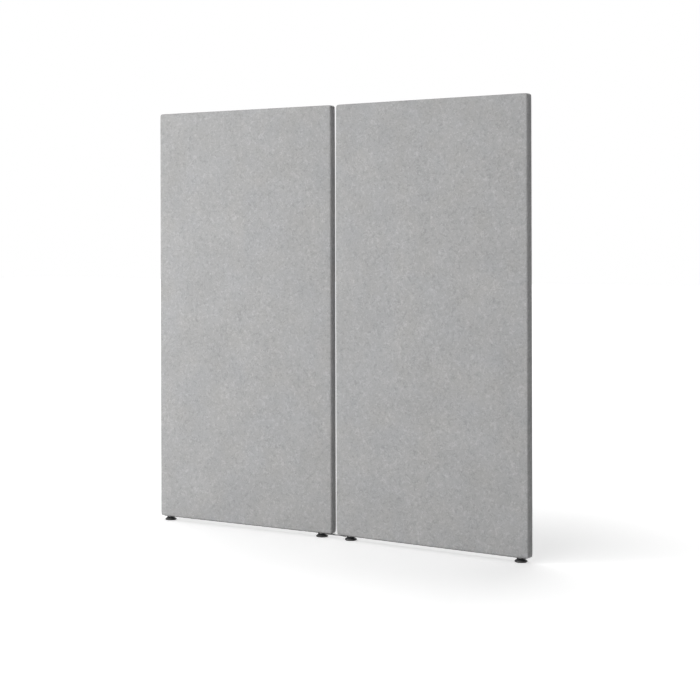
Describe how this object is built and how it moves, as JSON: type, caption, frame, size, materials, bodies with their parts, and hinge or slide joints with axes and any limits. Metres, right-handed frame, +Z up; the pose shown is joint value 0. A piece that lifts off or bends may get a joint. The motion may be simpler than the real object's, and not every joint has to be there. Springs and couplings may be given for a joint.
{
  "type": "acoustic divider screen",
  "caption": "Free-standing acoustic divider screen: two fabric-wrapped panels side by side, linked by a plate under the gap, on black levelling feet.",
  "frame": {"origin": "on the floor, midway between the two panels and, in depth, midway between the inner and the outer feet, which is the middle of the underside of the box round the whole screen", "axes": "+Z up, +X along the screen to the right as seen from the front, +Y towards the rear; each panel is turned 1.65 degrees about its link screw, with its outer end forward"},
  "size_m": [1.622, 0.0654, 1.616],
  "materials": {
    "melange_cloth": "light grey melange wool felt",
    "padding_felt": "white polyester wadding",
    "frame_timber": "planed pine",
    "dowel_beech": "beech",
    "acoustic_wool": "pressed recycled polyester wool",
    "black_strip": "fine grained",
    "zinc_steel": "zinc plated",
    "black_stud": "black zinc",
    "black_plastic": "fine grained",
    "sole_rubber": "matte",
    "nylon": "natural"
  },
  "bodies": {
    "left_panel": {"left_front_fabric": "melange_cloth", "left_rear_fabric": "melange_cloth", "left_front_padding": "padding_felt", "left_rear_padding": "padding_felt", "left_edge_padding": "padding_felt", "left_inner_stile": "frame_timber", "left_outer_stile": "frame_timber", "left_top_rail": "frame_timber", "left_middle_rail": "frame_timber", "left_bottom_rail": "frame_timber", "left_upper_core": "acoustic_wool", "left_lower_core": "acoustic_wool", "left_frame_dowels": "dowel_beech", "left_base_strip": "black_strip", "left_strip_screws": "zinc_steel", "left_foot_inserts": "zinc_steel", "left_link_insert": "zinc_steel", "left_link_washer": "nylon", "left_link_screw": "zinc_steel"},
    "right_panel": {"right_front_fabric": "melange_cloth", "right_rear_fabric": "melange_cloth", "right_front_padding": "padding_felt", "right_rear_padding": "padding_felt", "right_edge_padding": "padding_felt", "right_inner_stile": "frame_timber", "right_outer_stile": "frame_timber", "right_top_rail": "frame_timber", "right_middle_rail": "frame_timber", "right_bottom_rail": "frame_timber", "right_upper_core": "acoustic_wool", "right_lower_core": "acoustic_wool", "right_frame_dowels": "dowel_beech", "right_base_strip": "black_strip", "right_strip_screws": "zinc_steel", "right_foot_inserts": "zinc_steel", "right_link_insert": "zinc_steel", "right_link_washer": "nylon", "right_link_screw": "zinc_steel"},
    "link_plate": {"link_plate": "zinc_steel"},
    "left_inner_foot_pad": {"left_inner_foot_pad": "black_plastic", "left_inner_foot_sole": "sole_rubber"},
    "left_inner_foot_screw": {"left_inner_foot_screw": "black_stud"},
    "left_outer_foot_pad": {"left_outer_foot_pad": "black_plastic", "left_outer_foot_sole": "sole_rubber"},
    "left_outer_foot_screw": {"left_outer_foot_screw": "black_stud"},
    "right_inner_foot_pad": {"right_inner_foot_pad": "black_plastic", "right_inner_foot_sole": "sole_rubber"},
    "right_inner_foot_screw": {"right_inner_foot_screw": "black_stud"},
    "right_outer_foot_pad": {"right_outer_foot_pad": "black_plastic", "right_outer_foot_sole": "sole_rubber"},
    "right_outer_foot_screw": {"right_outer_foot_screw": "black_stud"}
  },
  "joints": [
    {"name": "left_link_swing", "type": "hinge", "parent": "left_panel", "child": "link_plate", "pos_m": [-0.037, 0.01098, 0.01285], "axis": [0, 0, 1], "range_deg": [-88, 88]},
    {"name": "right_link_swing", "type": "hinge", "parent": "link_plate", "child": "right_panel", "pos_m": [0.037, 0.01098, 0.01285], "axis": [0, 0, 1], "range_deg": [-88, 88]},
    {"name": "left_inner_foot_lift", "type": "slide", "parent": "left_panel", "child": "left_inner_foot_pad", "axis": [0, 0, -1], "range_m": [0, 0.012]},
    {"name": "left_inner_foot_turn", "type": "hinge", "parent": "left_inner_foot_pad", "child": "left_inner_foot_screw", "pos_m": [-0.06399, 0.01021, 0.03], "axis": [0, 0, -1], "range_deg": [0, 3456]},
    {"name": "left_outer_foot_lift", "type": "slide", "parent": "left_panel", "child": "left_outer_foot_pad", "axis": [0, 0, -1], "range_m": [0, 0.012]},
    {"name": "left_outer_foot_turn", "type": "hinge", "parent": "left_outer_foot_pad", "child": "left_outer_foot_screw", "pos_m": [-0.7727, -0.01021, 0.03], "axis": [0, 0, -1], "range_deg": [0, 3456]},
    {"name": "right_inner_foot_lift", "type": "slide", "parent": "right_panel", "child": "right_inner_foot_pad", "axis": [0, 0, -1], "range_m": [0, 0.012]},
    {"name": "right_inner_foot_turn", "type": "hinge", "parent": "right_inner_foot_pad", "child": "right_inner_foot_screw", "pos_m": [0.06399, 0.01021, 0.03], "axis": [0, 0, -1], "range_deg": [0, 3456]},
    {"name": "right_outer_foot_lift", "type": "slide", "parent": "right_panel", "child": "right_outer_foot_pad", "axis": [0, 0, -1], "range_m": [0, 0.012]},
    {"name": "right_outer_foot_turn", "type": "hinge", "parent": "right_outer_foot_pad", "child": "right_outer_foot_screw", "pos_m": [0.7727, -0.01021, 0.03], "axis": [0, 0, -1], "range_deg": [0, 3456]}
  ],
  "couplings": [
    {"joint": "left_inner_foot_turn", "follows": "left_inner_foot_lift", "rad_per_m": 5026.5},
    {"joint": "left_outer_foot_turn", "follows": "left_outer_foot_lift", "rad_per_m": 5026.5},
    {"joint": "right_inner_foot_turn", "follows": "right_inner_foot_lift", "rad_per_m": 5026.5},
    {"joint": "right_outer_foot_turn", "follows": "right_outer_foot_lift", "rad_per_m": 5026.5}
  ]
}
